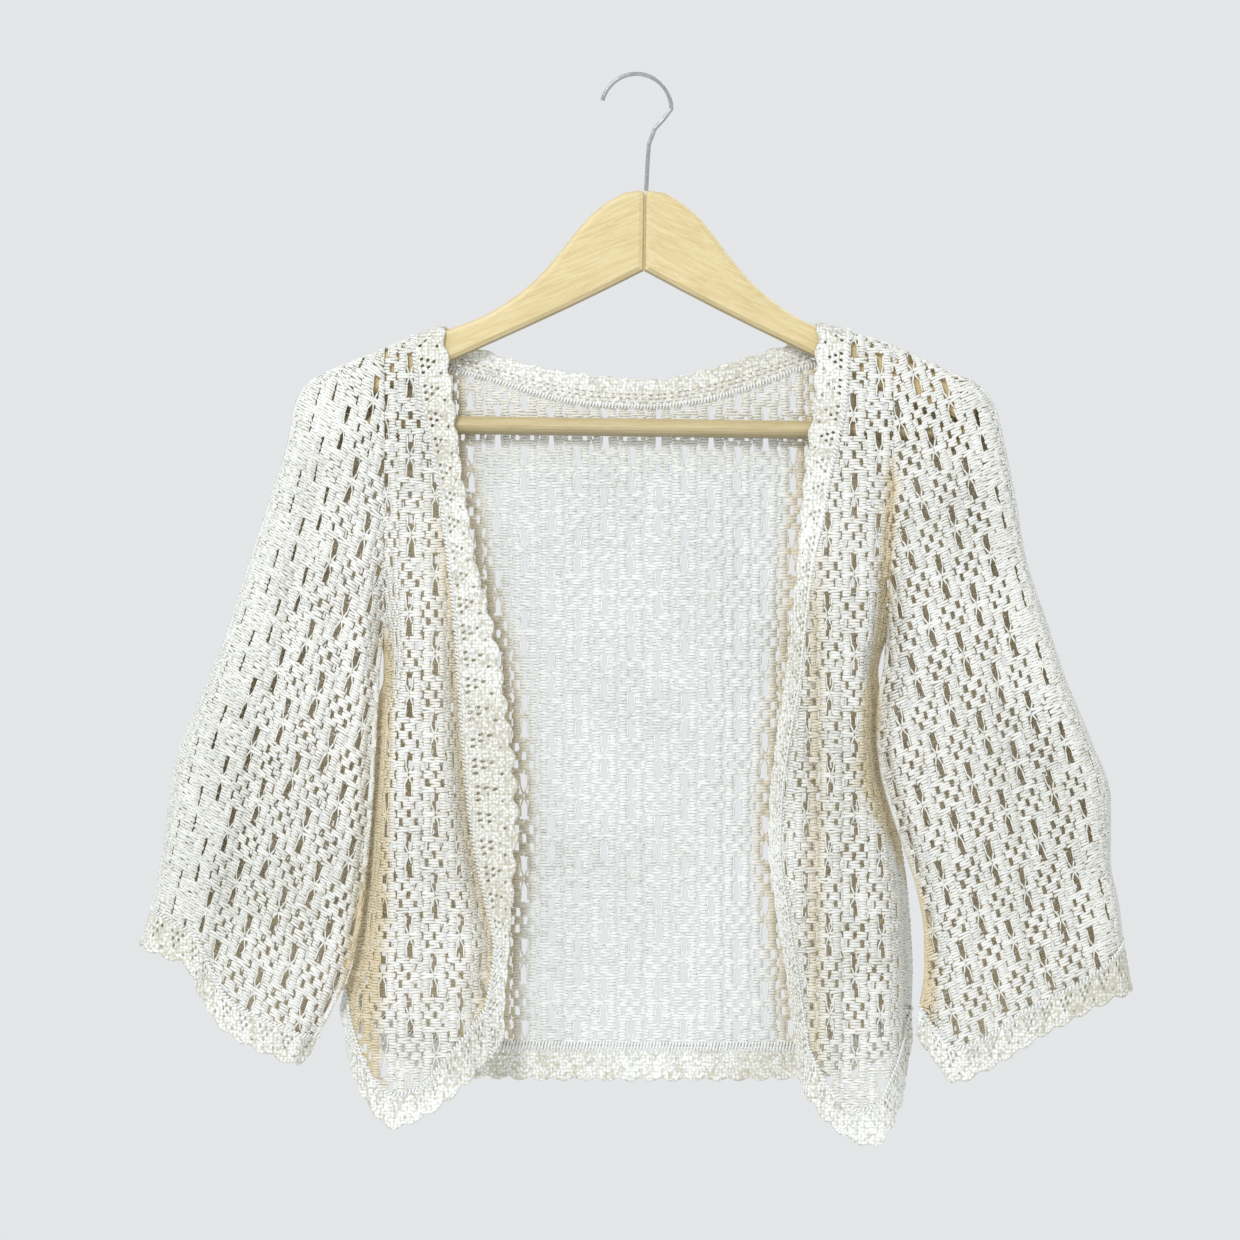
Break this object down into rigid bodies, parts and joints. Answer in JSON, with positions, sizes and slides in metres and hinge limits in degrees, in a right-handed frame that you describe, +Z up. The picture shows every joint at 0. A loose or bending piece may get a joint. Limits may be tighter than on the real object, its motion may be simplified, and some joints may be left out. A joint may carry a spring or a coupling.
{
  "type": "openwork cardigan on a wooden hanger",
  "caption": "Cropped open-front cardigan in openwork knit with short wide sleeves and scalloped bands, hanging on a wooden hanger with a bar and a wire hook.",
  "frame": {"origin": "the inner top of the hook's curve, where a rail carries the hanger", "axes": "+Z up, +X to the viewer's right across the shoulders, +Y away from the viewer, from the open front to the back"},
  "size_m": [0.6496, 0.0583, 0.7018],
  "materials": {
    "lace_cotton": "matt cotton openwork knit",
    "hanger_wood": "clear satin varnish",
    "hook_wire": "polished wire"
  },
  "bodies": {
    "root": {"back_panel": "lace_cotton", "front_left": "lace_cotton", "front_right": "lace_cotton", "sleeve_left_front": "lace_cotton", "sleeve_left_back": "lace_cotton", "sleeve_right_front": "lace_cotton", "sleeve_right_back": "lace_cotton", "band_front_left": "lace_cotton", "band_front_right": "lace_cotton", "band_neck_back": "lace_cotton", "band_hem_back": "lace_cotton", "band_hem_left": "lace_cotton", "band_hem_right": "lace_cotton", "cuff_left_front": "lace_cotton", "cuff_left_back": "lace_cotton", "cuff_right_front": "lace_cotton", "cuff_right_back": "lace_cotton", "hanger_arm_left": "hanger_wood", "hanger_arm_right": "hanger_wood", "hanger_bar": "hanger_wood", "hanger_hook": "hook_wire"}
  },
  "joints": []
}
